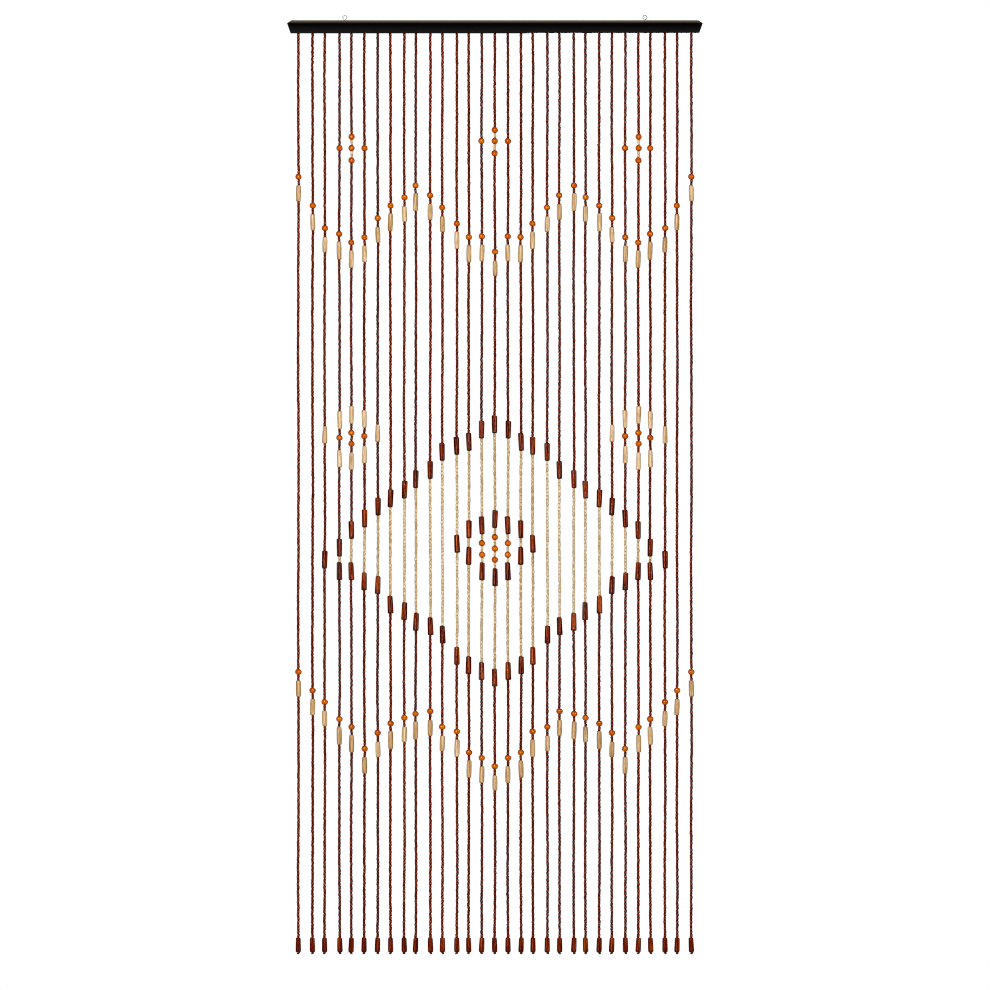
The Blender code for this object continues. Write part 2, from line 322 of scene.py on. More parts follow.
# %% Faces of many rings joined into one skin
def skin_faces(count, rings, sides):
    """Quads between neighbouring rings and a fan at each pole, for many like shapes.

    The points of a shape are its rings from the top down, side by side, then its top and its
    bottom pole. Gives the faces, and the (shape, ring, side) place of each of their corners,
    where the poles count as ring -1 and ring rings.
    """
    size = rings * sides + 2
    shape, ring, side = np.meshgrid(
        np.arange(count), np.arange(rings - 1), np.arange(sides), indexing="ij")
    shape, ring, side = (grid.ravel()[:, None] for grid in (shape, ring, side))
    quad_ring = ring + np.array([[0, 1, 1, 0]])
    quad_side = side + np.array([[0, 0, 1, 1]])
    quads = shape * size + quad_ring * sides + quad_side % sides
    quad_places = (shape + 0 * quad_ring, quad_ring, quad_side + 0.0)
    faces, places = [quads], [quad_places]
    cap, turn = np.meshgrid(np.arange(count), np.arange(sides), indexing="ij")
    cap, turn = cap.ravel()[:, None], turn.ravel()[:, None]
    for pole, pole_ring, rim, order in ((0, -1, 0, (0, 1)), (1, rings, rings - 1, (1, 0))):
        rim_side = turn + np.array([order])
        faces.append(np.concatenate([
            cap * size + rings * sides + pole,
            cap * size + rim * sides + rim_side % sides], axis=1))
        fan_side = np.concatenate([turn + 0.5, rim_side], axis=1)
        fan_ring = np.broadcast_to([[pole_ring, rim, rim]], fan_side.shape)
        places.append((np.broadcast_to(cap, fan_side.shape), fan_ring, fan_side))
    return faces, places


# %% Squares of the UV map
# A margin is kept free round each shape's square, so that baked colours don't run together.
UV_MARGIN = 0.06
UV_SPAN = 1 - 2 * UV_MARGIN


def square_uv(places, count, ring_heights, sides):
    """UV of each corner: its turn and height, shrunk into its own shape's square of a grid."""
    cells = int(np.ceil(np.sqrt(count)))
    heights = np.concatenate([[0.0], ring_heights, [1.0]])
    maps = []
    for shape, ring, side in places:
        u = (shape % cells + UV_MARGIN + UV_SPAN * side / sides) / cells
        v = (shape // cells + UV_MARGIN + UV_SPAN * heights[ring + 1]) / cells
        maps.append(np.stack([u, v], axis=-1).reshape(-1, 2))
    return maps


# %% [markdown]
# ## A turned bead
#
# Beads are cut from a rod on a lathe, so each one is a profile spun round its hole. The profile
# is a list of shares along the bead with the radius at each. Hand threading adds the rest: a
# bead sits a little off its thread, tilts, and has its own size.

# %% Spin profiles into beads
# Each bead reads its grain at its own place in a block of wood this many millimetres wide.
GRAIN_BLOCK = 400


def turned_beads(name, lines, profile, sides, loose, material):
    """Many turned beads as one mesh.

    Point = middle + radius * (cos(turn) * side + sin(turn) * front) + along * length * axis,
    where along goes from 0.5 at the top to -0.5, and the radius is the profile's share of a
    straight line from the bead's top radius to its bottom radius. The loose values are a bead's
    largest shift in mm, tilt in degrees and change of size, a tone added to every bead, how
    much of its string's tone it takes on, and the share of its length by which the painted shade
    of its lower end reaches further up.
    """
    count = len(lines)
    string = lines[:, 0].astype(int)
    along, share = profile(lines)
    rings = along.shape[1] - 2
    middle = on_string(string, lines[:, 1])
    middle[:, :2] += DICE.uniform(-1, 1, (count, 2)) * loose["shift"]
    slope = np.radians(loose["tilt"]) * DICE.uniform(-1, 1, (count, 2))
    axis = np.stack([slope[:, 0], slope[:, 1], np.ones(count)], axis=1)
    axis /= np.linalg.norm(axis, axis=1, keepdims=True)
    side = np.stack([axis[:, 2], np.zeros(count), -axis[:, 0]], axis=1)
    side /= np.linalg.norm(side, axis=1, keepdims=True)
    front = np.cross(axis, side)
    scale = 1.0 + DICE.uniform(-1, 1, count) * loose["size"]
    blend = 0.5 - along
    radius = (lines[:, 3, None] * (1 - blend) + lines[:, 4, None] * blend) * share
    radius = radius * scale[:, None]
    turn = 2 * np.pi * (np.arange(sides)[None, :] / sides + DICE.uniform(0, 1, (count, 1)))
    local = np.empty((count, rings, sides, 3))
    local[..., 0] = radius[:, 1:-1, None] * np.cos(turn)[:, None, :]
    local[..., 1] = radius[:, 1:-1, None] * np.sin(turn)[:, None, :]
    local[..., 2] = (along[:, 1:-1] * lines[:, 2, None])[:, :, None]
    poles = np.zeros((count, 2, 3))
    poles[..., 2] = along[:, [0, -1]] * lines[:, 2, None]
    local = np.concatenate([local.reshape(count, -1, 3), poles], axis=1)
    basis = np.stack([side, front, axis], axis=1)
    points = middle[:, None, :] + np.einsum("bpk,bkc->bpc", local, basis)
    tone = DICE.uniform(-1, 1, count) + loose["tone"] + loose["batch"] * BATCH_TONE[string]
    tone = np.repeat(tone, local.shape[1])
    grain = local + DICE.uniform(0, GRAIN_BLOCK, (count, 1, 3))
    # The middle of end moves up by a share of the length, so the painted shade reaches further up
    # from below.
    end = 2 * np.abs(local[..., 2] / lines[:, 2, None] - loose["shade_lift"])
    faces, places = skin_faces(count, rings, sides)
    travel = np.hypot(np.diff(along[0] * lines[0, 2]), np.diff(share[0] * lines[0, 3]))
    heights = (np.cumsum(travel) / travel.sum())[:-1]
    uv = square_uv(places, count, heights, sides)
    values = {"tone": tone, "grain": grain.reshape(-1, 3), "end": end.ravel()}
    return new_piece(name, points.reshape(-1, 3), faces, uv, material, values)


# %% [markdown]
# ## Colours and nodes
#
# Colours are picked as sRGB hex values, as one reads them off a picture, but shaders work in
# linear light. One function turns the first into the second, one starts a material, and one
# adds any node.

# %% Three helpers for materials
def linear(code):
    """Linear RGBA of an sRGB hex colour: c / 12.92 when dark, else ((c + 0.055) / 1.055)^2.4."""
    values = np.array([int(code[i:i + 2], 16) for i in (1, 3, 5)]) / 255
    bright = ((values + 0.055) / 1.055) ** 2.4
    return (*np.where(values <= 0.04045, values / 12.92, bright).tolist(), 1.0)


def empty_material(name):
    """A new material and its node tree, with no nodes in it."""
    material = bpy.data.materials.new(name)
    material.use_nodes = True
    material.node_tree.nodes.clear()
    print("material:", name)
    return material, material.node_tree


def add_node(tree, kind, settings=None, inputs=None):
    """Add a node, set its properties, and give each input a value or the output it links to."""
    node = tree.nodes.new(kind)
    for key, value in (settings or {}).items():
        setattr(node, key, value)
    for key, value in (inputs or {}).items():
        if isinstance(value, bpy.types.NodeSocket):
            tree.links.new(value, node.inputs[key])
        else:
            node.inputs[key].default_value = value
    return node


# %% A wood finish for turned beads
FIBRE_SWING = 1.1
RELIEF_DEPTH = 0.1 * MM
LACQUER_IOR = 1.5


def bead_wood(name, stops, end_shade_colour, end_shade_start, end_shade_full, tone_share, grain_size, shader,
              relief=0.3):
    """Wood whose colour follows its grain and its own tone, with painted shade towards its ends.

    shade = 0.5 + tone_share * tone + swing * (fibre - 0.5), looked up in the colour stops, and
    mixed with the end colour, which is painted shade, as end goes from the given start to full.
    The fibre is a noise whose grain_size is its width and its length along the bead in mm, and a
    faint bump follows it.
    """
    material, tree = empty_material(name)
    tone = add_node(tree, "ShaderNodeAttribute", {"attribute_name": "tone"})
    grain = add_node(tree, "ShaderNodeAttribute", {"attribute_name": "grain"})
    end = add_node(tree, "ShaderNodeAttribute", {"attribute_name": "end"})
    width, length = grain_size
    stretched = add_node(tree, "ShaderNodeMapping", None, {
        "Vector": grain.outputs["Vector"],
        "Scale": (1 / width, 1 / width, 1 / length)})
    fibre = add_node(tree, "ShaderNodeTexNoise", None, {
        "Vector": stretched.outputs["Vector"],
        "Scale": 1.0, "Detail": 3.0, "Roughness": 0.55, "Distortion": 0.3})
    base = add_node(tree, "ShaderNodeMath", {"operation": "MULTIPLY_ADD"}, {
        0: tone.outputs["Fac"], 1: tone_share, 2: 0.5 - 0.5 * FIBRE_SWING})
    shade = add_node(tree, "ShaderNodeMath", {"operation": "MULTIPLY_ADD"}, {
        0: fibre.outputs["Fac"], 1: FIBRE_SWING, 2: base.outputs["Value"]})
    ramp = add_node(tree, "ShaderNodeValToRGB", None, {"Fac": shade.outputs["Value"]})
    while len(ramp.color_ramp.elements) < len(stops):
        ramp.color_ramp.elements.new(1.0)
    for element, (position, code) in zip(ramp.color_ramp.elements, stops):
        element.position = position
        element.color = linear(code)
    # Painted shade: towards the holes the colour turns to the end colour.
    tip = add_node(tree, "ShaderNodeMapRange", {"interpolation_type": "SMOOTHSTEP"}, {
        "Value": end.outputs["Fac"], "From Min": end_shade_start, "From Max": end_shade_full})
    colour = add_node(tree, "ShaderNodeMix", {"data_type": "RGBA"}, {
        "Factor": tip.outputs["Result"],
        6: ramp.outputs["Color"],
        7: linear(end_shade_colour)})
    bump = add_node(tree, "ShaderNodeBump", None, {
        "Height": fibre.outputs["Fac"], "Strength": relief, "Distance": RELIEF_DEPTH})
    finish = add_node(tree, "ShaderNodeBsdfPrincipled", None, {
        "Base Color": colour.outputs[2], "Normal": bump.outputs["Normal"],
        "IOR": LACQUER_IOR, **shader})
    add_node(tree, "ShaderNodeOutputMaterial", None, {"Surface": finish.outputs["BSDF"]})
    return material


# %% [markdown]
# ## Small brown beads
#
# Beech turned to 7.5 by 6 mm, dipped in mahogany stain and lacquered. From just off its middle
# out to its holes each bead is painted darker: painted shade where the beads meet, over end
# grain that takes a little more stain. So a string reads as red spots on dark. The fibre of
# such a bead is about 0.3 mm wide, too fine to show, so it is drawn at 1.2 mm.

# %% Mahogany-stained beech
stained_bead = bead_wood(
    "mahogany_stained_beech_bead",
    stops=((0.16, "#360400"), (0.45, "#7C1C0E"), (0.75, "#AC4A32"), (0.95, "#D0866A")),
    # The end colour is painted shade where the beads meet, setting in just off the middle.
    end_shade_colour="#2E0400",
    end_shade_start=0.04,
    end_shade_full=0.8,
    tone_share=0.12,
    grain_size=(1.2, 6.0),
    shader={
        "Roughness": 0.3, "Specular IOR Level": 0.35, "Specular Tint": linear("#FF8A58")})


# %% Barrel profile of the small beads
# A bead that comes by the thousand gets eight sides and four bands, 48 faces in all.
def small_profile(lines):
    """The same shares for every small bead: a soft barrel with narrow ends."""
    along = np.array([0.47, 0.5, 0.37, 0.0, -0.37, -0.5, -0.47])
    share = np.array([0.0, 0.78, 0.94, 1.0, 0.94, 0.78, 0.0])
    return np.tile(along, (len(lines), 1)), np.tile(share, (len(lines), 1))


SMALL_SIDES = 8
SMALL_LOOSE = {"shift": 0.4, "tilt": 10.0, "size": 0.05, "shade_lift": 0.0, "tone": 0.0, "batch": 0.7}
brown_lines = plan["brown"][np.argsort(plan["brown"][:, 0], kind="stable")]
brown_pieces = [
    turned_beads(f"brown_beads_{index}", lines, small_profile, SMALL_SIDES, SMALL_LOOSE,
                 stained_bead)
    for index, lines in enumerate(np.array_split(brown_lines, 4), start=1)]

# %% [markdown]
# ## Small cream beads
#
# The same beads left in natural wood with a satin finish. Their ends are painted only a little
# darker, as painted shade where the beads meet.

# %% Natural beech
natural_bead = bead_wood(
    "natural_beech_bead",
    stops=((0.06, "#8E602C"), (0.5, "#D6B688"), (0.94, "#F4E6CE")),
    # The end colour is a light painted shade, on the outer half of each bead only.
    end_shade_colour="#B4905A",
    end_shade_start=0.46,
    end_shade_full=1.0,
    tone_share=0.16,
    grain_size=(1.2, 6.0),
    shader={"Roughness": 0.48, "Specular IOR Level": 0.4})

cream_piece = turned_beads("cream_beads", plan["cream"], small_profile, SMALL_SIDES,
                           {**SMALL_LOOSE, "size": 0.08},
                           natural_bead)

# %% [markdown]
# ## Amber balls
#
# Round wooden balls dyed amber under a thick gloss lacquer. The lacquer carries the dye, so
# even the highlight is warm, which the yellow tint of the reflection gives. A lathe leaves fine
# rings round a ball, and they draw its highlight out into an upright streak. Real rings lie
# about 0.2 mm apart, and are drawn at 0.8 mm, a third of a pixel of the finished picture. So
# the noise that serves as fibre on the other beads runs round the ball here.

# %% Amber-dyed ball
amber_ball = bead_wood(
    "amber_dyed_maple_ball",
    stops=((0.1, "#AE3602"), (0.5, "#C84C02"), (0.9, "#E27204")),
    # The end colour is painted shade: the top and the bottom of each ball are painted a deeper
    # red.
    end_shade_colour="#801400",
    end_shade_start=0.36,
    end_shade_full=1.0,
    tone_share=0.18,
    grain_size=(9.0, 0.8),
    shader={
        "Roughness": 0.16, "Specular IOR Level": 1.0, "Specular Tint": linear("#FFE83C")},
    relief=0.6)


# %% Round profile with a hole
BALL_RINGS = 13
HOLE_SHARE = 0.26
DIMPLE_SHARE = 0.8 * HOLE_SHARE
DIMPLE_ALONG = np.array([0.4, 0.44])


def ball_profile(lines):
    """Shares of a ball: radius = cos(height) between two cut poles, then a dimple at the hole."""
    height = np.linspace(1, -1, BALL_RINGS) * np.arccos(HOLE_SHARE)
    along = np.sin(height) / np.sin(height[0]) / 2
    share = np.cos(height)
    along = np.concatenate([DIMPLE_ALONG, along, -DIMPLE_ALONG[::-1]])
    share = np.concatenate([[0.0, DIMPLE_SHARE], share, [DIMPLE_SHARE, 0.0]])
    return np.tile(along, (len(lines), 1)), np.tile(share, (len(lines), 1))


LARGE_SIDES = 20
LARGE_LOOSE = {"shift": 0.3, "tilt": 2.0, "size": 0.02, "shade_lift": 0.0, "tone": 0.0, "batch": 0.0}
ball_piece = turned_beads("amber_balls", plan["ball"], ball_profile, LARGE_SIDES,
                          LARGE_LOOSE, amber_ball)


# %% [markdown]
# ## Tube beads
#
# Long beads sanded so that their ends round off. The garland tubes swell in the middle, and the
# others taper towards one end. The rounding is a few millimetres whatever the tube's length, so
# the profile is worked out in millimetres and then divided by each length.

# %% Tube profile
HOLE_DEPTHS = np.array([[2.0, 1.0]])
HOLE_WALL_SHARE = 0.3


def tube_profile(rounding, tip, swell):
    """Makes a profile: an end curve over the rounding, and a swelling sin(pi * along) between.

    On an end curve the share rises from tip to 1 as a quarter circle, sqrt(1 - (1 - t)^2).
    Inside it the wall of the hole goes down by the hole's depths, in mm.
    """
    def profile(lines):
        t = np.array([0.0, 0.12, 0.32, 0.6, 1.0])
        rise = tip + (1 - tip) * np.sqrt(1 - (1 - t) ** 2)
        edge = 0.5 - t[None, :] * rounding / lines[:, 2, None]
        hole = edge[:, :1] - HOLE_DEPTHS / lines[:, 2, None]
        belly = np.tile(np.linspace(0.3, -0.3, 5), (len(lines), 1))
        along = np.concatenate([hole, edge, belly, -edge[:, ::-1], -hole[:, ::-1]], axis=1)
        share = np.concatenate([
            [0.0, HOLE_WALL_SHARE], rise, np.ones(5), rise[::-1], [HOLE_WALL_SHARE, 0.0]])
        bulge = 1 - swell * (1 - np.sin(np.pi * (along + 0.5)))
        return along, np.tile(share, (len(lines), 1)) * bulge
    return profile


# %% Natural wood with long grain
# A tube is cut along the rod, so its fibres run from end to end. Beech fibre bundles are about
# 0.5 mm wide, and are drawn at 1.5 mm, most of a pixel of the finished picture. The tubes of
# the flowers come from a paler rod, which a tone added to all of them gives.
pale_tube = bead_wood(
    "natural_beech_tube",
    stops=((0.26, "#8A5820"), (0.41, "#B48444"), (0.55, "#CEA674"), (0.72, "#EAD0A8")),
    # The end colour is painted shade on the rounded ends.
    end_shade_colour="#8E6230",
    end_shade_start=0.88,
    end_shade_full=1.0,
    tone_share=0.06,
    grain_size=(1.5, 40.0),
    shader={"Roughness": 0.3, "Coat Weight": 0.15, "Coat Roughness": 0.2})

pale_lines = np.concatenate([plan["pale_wide_top"], plan["pale_wide_bottom"]])
garland_piece = turned_beads("garland_tubes", plan["pale_barrel"],
                             tube_profile(3.2, 0.68, 0.1), LARGE_SIDES, LARGE_LOOSE,
                             pale_tube)
flower_piece = turned_beads("flower_tubes", pale_lines,
                            tube_profile(3.6, 0.55, 0.04), LARGE_SIDES,
                            {**LARGE_LOOSE, "tone": 1.7}, pale_tube)

# %% Stained wood with long grain
# The stain gathers in wide streaks, 2 to 3 mm across. The ends are painted almost black, as
# painted shade, and the painted shade reaches a little further up from below than down from
# the top.
brown_tube = bead_wood(
    "mahogany_stained_beech_tube",
    stops=((0.36, "#220201"), (0.45, "#420700"), (0.54, "#6C1300"), (0.64, "#A4440A")),
    end_shade_colour="#0A0100",
    end_shade_start=0.84,
    end_shade_full=1.0,
    tone_share=0.06,
    grain_size=(2.2, 70.0),
    shader={
        "Roughness": 0.08, "Specular IOR Level": 0.6, "Specular Tint": linear("#FF9A76")})

# The painted shade of the lower ends reaches further up than that of the tops.
LOWER_END_SHADED = {**LARGE_LOOSE, "tilt": 2.6, "shade_lift": 0.03}
brown_tube_lines = np.concatenate([plan["brown_wide_top"], plan["brown_wide_bottom"]])
diamond_piece = turned_beads("diamond_tubes", brown_tube_lines,
                             tube_profile(2.8, 0.6, 0.02), LARGE_SIDES, LOWER_END_SHADED,
                             brown_tube)

# %% End beads
# The same stain left on for longer, so that only a few streaks stay lighter.
end_wood = bead_wood(
    "dark_mahogany_stained_tube",
    stops=((0.3, "#3A0000"), (0.44, "#540602"), (0.56, "#681202"), (0.7, "#9C4208")),
    # The end colour is painted shade, reaching further up from below, as on the diamond's tubes.
    end_shade_colour="#240200",
    end_shade_start=0.84,
    end_shade_full=1.0,
    tone_share=0.03,
    grain_size=(3.0, 40.0),
    shader={
        "Roughness": 0.2, "Specular IOR Level": 0.35, "Specular Tint": linear("#FF9050")})
end_piece = turned_beads("end_beads", plan["end_bead"], tube_profile(4.0, 0.5, 0.03),
                         LARGE_SIDES, LOWER_END_SHADED, end_wood)


# %% [markdown]
# ## Thread, knots and wire
#
# All three are a round section carried along a path. The section needs a steady direction to
# start from at each point, or the tube twists, so each path comes with its own.

# %% Carry a round section along paths
def tubes_along(name, paths, steady, radius, sides, material):
    """Many like tubes as one mesh: point = path + radius * (cos(turn) * a + sin(turn) * b).

    a is the steady direction with its part along the path taken away, and b is across both.
    """
    count, steps = paths.shape[:2]
    ahead = np.gradient(paths, axis=1)
    ahead /= np.linalg.norm(ahead, axis=2, keepdims=True)
    a = steady - (steady * ahead).sum(axis=2, keepdims=True) * ahead
    a /= np.linalg.norm(a, axis=2, keepdims=True)
    b = np.cross(a, ahead)
    turn = 2 * np.pi * np.arange(sides) / sides
    ring = np.cos(turn)[:, None] * a[:, :, None, :] + np.sin(turn)[:, None] * b[:, :, None, :]
    points = paths[:, :, None, :] + radius[None, :, None, None] * ring
    poles = paths[:, [0, -1], :]
    points = np.concatenate([points.reshape(count, -1, 3), poles], axis=1)
    faces, places = skin_faces(count, steps, sides)
    uv = square_uv(places, count, np.linspace(0, 1, steps + 2)[1:-1], sides)
    return new_piece(name, points.reshape(-1, 3), faces, uv, material)


# %% Waxed thread
# Polyester thread, twisted and waxed: dark, with a soft sheen. Its twist repeats every 1.5 mm,
# less than a pixel of the finished picture, so the slanting bands are drawn 19 mm apart. A
# diagonal wave repeats every 0.63 / scale, and a scale of one in 30 mm gives that.
BAND_SCALE = 30
waxed_thread, tree = empty_material("waxed_polyester_thread")
place = add_node(tree, "ShaderNodeTexCoord")
twist = add_node(tree, "ShaderNodeTexWave", {"bands_direction": "DIAGONAL"}, {
    "Vector": place.outputs["Object"], "Scale": 1 / (BAND_SCALE * MM), "Distortion": 1.0})
colour = add_node(tree, "ShaderNodeMix", {"data_type": "RGBA"}, {
    "Factor": twist.outputs["Fac"], 6: linear("#0C0403"), 7: linear("#28140E")})
bump = add_node(tree, "ShaderNodeBump", None, {
    "Height": twist.outputs["Fac"], "Strength": 0.5, "Distance": RELIEF_DEPTH})
finish = add_node(tree, "ShaderNodeBsdfPrincipled", None, {
    "Base Color": colour.outputs[2], "Normal": bump.outputs["Normal"], "Roughness": 0.55,
    "IOR": LACQUER_IOR})
add_node(tree, "ShaderNodeOutputMaterial", None, {"Surface": finish.outputs["BSDF"]})

# %% Threads
# Each thread runs from the strip above the rail's underside down into its knot.
THREAD_RADIUS = 0.5
THREAD_SIDES = 5
THREAD_STEPS = 61
REACH_INTO_STRIP = 1.0
KNOT_MIDDLE = 2.0
string = np.repeat(np.arange(len(ACROSS)), THREAD_STEPS)
drop = np.tile(np.linspace(0.0, STRING_LENGTH - KNOT_MIDDLE, THREAD_STEPS), len(ACROSS))
thread_paths = on_string(string, drop).reshape(len(ACROSS), THREAD_STEPS, 3)
thread_paths[:, 0, 2] += REACH_INTO_STRIP
steady = np.broadcast_to([1.0, 0.0, 0.0], thread_paths.shape)
thread_piece = tubes_along("threads", thread_paths, steady, np.full(THREAD_STEPS, THREAD_RADIUS),
                           THREAD_SIDES, waxed_thread)

# %% Knots
# An overhand knot pulled tight is close to a trefoil. Its path winds twice round a ring while
# it goes three times round the ring's own section. The ring is stretched upwards, so that the
# knot's top reaches into the end bead's hole, and each knot sits and slants its own way.
KNOT_STEPS = 37
KNOT_RING_RADIUS = 1.45
KNOT_SECTION_RADIUS = 0.6
KNOT_STRETCH = np.array([1.0, 1.0, 2.8])
KNOT_ABOVE_END = 2.8
KNOT_SHIFT = 0.9
KNOT_SLANT = 0.8
PULLED_RADIUS = 1.1
turn = np.linspace(0.0, 2 * np.pi, KNOT_STEPS)
out = np.stack([np.cos(3 * turn) * np.cos(2 * turn),
                np.cos(3 * turn) * np.sin(2 * turn),
                np.sin(3 * turn)], axis=1)
ring = np.stack([np.cos(2 * turn), np.sin(2 * turn), 0 * turn], axis=1)
knot_path = (KNOT_RING_RADIUS * ring + KNOT_SECTION_RADIUS * out) * KNOT_STRETCH
feet = on_string(np.arange(len(ACROSS)), np.full(len(ACROSS), STRING_LENGTH - KNOT_ABOVE_END))
feet[:, :2] += DICE.uniform(-KNOT_SHIFT, KNOT_SHIFT, (len(ACROSS), 2))
slant = DICE.uniform(-KNOT_SLANT, KNOT_SLANT, (len(ACROSS), 1))
knot_paths = feet[:, None, :] + knot_path[None]
knot_paths[:, :, 0] += slant * knot_path[None, :, 2]
knot_piece = tubes_along("knots", knot_paths, np.broadcast_to(out, knot_paths.shape),
                         np.full(KNOT_STEPS, PULLED_RADIUS), THREAD_SIDES, waxed_thread)

# %% [markdown]
# ## Screw eyes
#
# An eye is one zinc-plated wire, 1.6 mm thick: a straight shank, a short bend out of line, and
# a ring that nearly closes. The bend is a cubic curve that leaves the shank upwards and meets
# the ring along its own direction.

# %% Zinc-plated wire
# Small parts are tumbled in the plating bath and knock together, so the bright grey metal is
# unevenly glossy, in scuffs about 0.8 mm across.
SCUFF_SIZE = 0.8
zinc_wire, tree = empty_material("zinc_plated_steel_wire")
place = add_node(tree, "ShaderNodeTexCoord")
scuffs = add_node(tree, "ShaderNodeTexNoise", None, {
    "Vector": place.outputs["Object"], "Scale": 1 / (SCUFF_SIZE * MM), "Detail": 2.0})
colour = add_node(tree, "ShaderNodeMix", {"data_type": "RGBA"}, {
    "Factor": scuffs.outputs["Fac"], 6: linear("#8E8F92"), 7: linear("#B4B5B8")})
rough = add_node(tree, "ShaderNodeMapRange", None, {
    "Value": scuffs.outputs["Fac"], "To Min": 0.25, "To Max": 0.4})
finish = add_node(tree, "ShaderNodeBsdfPrincipled", None, {
    "Base Color": colour.outputs[2], "Roughness": rough.outputs["Result"], "Metallic": 1.0})
add_node(tree, "ShaderNodeOutputMaterial", None, {"Surface": finish.outputs["BSDF"]})

# %% Bend the wire
# The path is drawn across and up, in the plane of the curtain, round the middle of the ring.
WIRE_RADIUS = 0.8
WIRE_SIDES = 12
RING_RADIUS = 4.5
RING_START = -65.0
RING_SWEEP = 318.0
SHANK_DEPTHS = np.array([12.0, 11.4, 9.4, 5.4, 1.4])
NECK_START = RAIL_TOP - 0.3
NECK_PULL = RAIL_TOP + 1.1

start = np.radians(RING_START)
meet = RING_RADIUS * np.array([np.cos(start), np.sin(start)])
heading = np.array([-np.sin(start), np.cos(start)])
neck = np.array([[0.0, NECK_START], [0.0, NECK_PULL], meet - heading, meet])
t = np.linspace(0.0, 1.0, 9)[:, None]
bend = ((1 - t) ** 3 * neck[0] + 3 * t * (1 - t) ** 2 * neck[1]
        + 3 * t ** 2 * (1 - t) * neck[2] + t ** 3 * neck[3])
shank = np.stack([0 * SHANK_DEPTHS, RAIL_TOP - SHANK_DEPTHS], axis=1)
sweep = start + np.radians(RING_SWEEP) * np.linspace(0.0, 1.0, 41)[1:]
ring = RING_RADIUS * np.stack([np.cos(sweep), np.sin(sweep)], axis=1)
flat_path = np.concatenate([shank, bend, ring])
wire_path = np.stack([flat_path[:, 0], 0 * flat_path[:, 0], flat_path[:, 1]], axis=1)

# %% Place the two eyes
# The shank tapers to its tip, and the cut end of the ring is slightly rounded.
EYE_SPREAD = 651.4
TIP_SHARE = 0.3
CUT_SHARE = 0.7
thickness = np.full(len(wire_path), WIRE_RADIUS)
thickness[0] *= TIP_SHARE
thickness[-1] *= CUT_SHARE
for label, across in (("left", -EYE_SPREAD / 2), ("right", EYE_SPREAD / 2)):
    path = (wire_path + np.array([across, 0.0, 0.0]))[None]
    steady = np.broadcast_to([0.0, 1.0, 0.0], path.shape)
    eye = tubes_along(f"eye_wire_{label}", path, steady, thickness, WIRE_SIDES, zinc_wire)
    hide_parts(f"screw_eye_{label}")


# %% [markdown]
# ## The rail
#
# A wooden bar under black lacquer. Its top edges slope. Each end slants inwards above and below
# a short upright nose, and its lacquer makes it 1 mm longer than the bare bar of the solids. No
# edge of a lacquered bar is sharp, and the thin light line along each edge comes from its
# rounding, so the section is drawn with small curves at its corners. The groove underneath holds
# the strip that the threads are fixed to.

# %% Round the corners of an outline
def rounded_outline(corners, radius, steps, lead):
    """Closed outline with a curve at each corner, from one tangent point to the other.

    Point at share t = (1-t)^2 * start + 2t(1-t) * corner + t^2 * end. One more point, a lead
    before and after the curve, keeps the flats flat when the surface is shaded smooth.
    """
    corners = np.asarray(corners, dtype=float)
    back = corners - np.roll(corners, 1, axis=0)
    ahead = np.roll(corners, -1, axis=0) - corners
    back /= np.linalg.norm(back, axis=1, keepdims=True)
    ahead /= np.linalg.norm(ahead, axis=1, keepdims=True)
    bend = np.arccos(np.clip((back * ahead).sum(axis=1), -1, 1))
    reach = (radius * np.tan(bend / 2))[:, None]
    first, last = corners - back * reach, corners + ahead * reach
    t = np.linspace(0, 1, steps + 1)[None, :, None]
    curve = ((1 - t) ** 2 * first[:, None] + 2 * t * (1 - t) * corners[:, None]
             + t ** 2 * last[:, None])
    before, after = (first - back * lead)[:, None], (last + ahead * lead)[:, None]
    return np.concatenate([before, curve, after], axis=1).reshape(-1, 2)


# %% Sizes of the rail
LACQUER_BUILD = 1.0
SLOPE_DROP = 6.3
SLOPE_REACH = 6.0
TOP_INSET = 8.4
FOOT_INSET = 6.4
NOSE = 2.0
EDGE_RADIUS = 0.4
EDGE_STEPS = 3
END_RADIUS = 0.6
LEAD = 0.6
GROOVE_HALF_LENGTH = 434.3
GROOVE_HALF_WIDTH = 4.3
GROOVE_DEPTH = 4.6
WIDEST = RAIL_TOP - SLOPE_DROP
print("rail is widest at", round(WIDEST, 2), "mm")

# %% Lacquer
# Black lacquer over pine. The long grain of the wood still shows as low ridges, about 1.5 mm
# apart, in the reflections. Towards its lower edge the black is painted up to a dark grey, a
# painted reflection of light from below. Along the sloped edge a painted light from above turns
# it olive brown in some stretches and redder in others, each a hand's width or so long. Both
# painted lights set in over the heights given here.
RIDGE_LENGTH = 90
RIDGE_WIDTH = 1.5
PATCH_LENGTH = 110
REFLECTION_START = -13.0
REFLECTION_END = RAIL_UNDERSIDE - 2
TOP_LIGHT_START = WIDEST + 0.6
TOP_LIGHT_END = WIDEST + 3.4
black_lacquer, tree = empty_material("black_lacquered_pine")
place = add_node(tree, "ShaderNodeTexCoord")
stretched = add_node(tree, "ShaderNodeMapping", None, {
    "Vector": place.outputs["Object"],
    "Scale": (1 / (RIDGE_LENGTH * MM), 1 / (RIDGE_WIDTH * MM), 1 / (RIDGE_WIDTH * MM))})
ridges = add_node(tree, "ShaderNodeTexNoise", None, {
    "Vector": stretched.outputs["Vector"], "Scale": 1.0, "Detail": 3.0})
height = add_node(tree, "ShaderNodeSeparateXYZ", None, {"Vector": place.outputs["Object"]})
